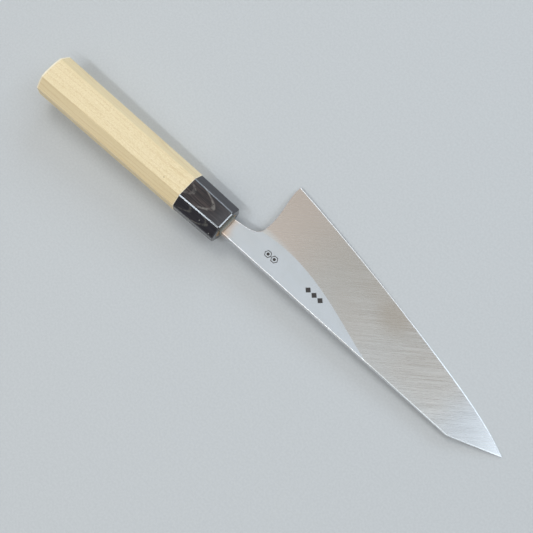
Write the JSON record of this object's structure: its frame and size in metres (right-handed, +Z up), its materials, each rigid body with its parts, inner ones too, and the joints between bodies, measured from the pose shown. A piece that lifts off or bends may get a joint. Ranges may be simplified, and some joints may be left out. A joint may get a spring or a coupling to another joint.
{
  "type": "boning knife",
  "caption": "Poultry boning knife: a steel blade with flats and wide bevels on both faces, an angled tip, and an octagonal wooden handle with a dark ferrule.",
  "frame": {"origin": "on the bench that the knife lies on, under the middle of its bounding box", "axes": "+X from the butt of the handle to the tip, +Y from the spine side to the edge side, +Z up from the bench; the left face of the blade is up, rolled 8.9 degrees towards the edge and 2.55 degrees nose down, as the knife rests"},
  "size_m": [0.3317, 0.0588, 0.0265],
  "materials": {
    "blade_steel": "satin",
    "dark_wood": "gloss",
    "pale_wood": "matte",
    "resin": "gloss"
  },
  "bodies": {
    "root": {"blade": "blade_steel", "ferrule": "dark_wood", "handle_body": "pale_wood", "tang_adhesive": "resin"}
  },
  "joints": []
}
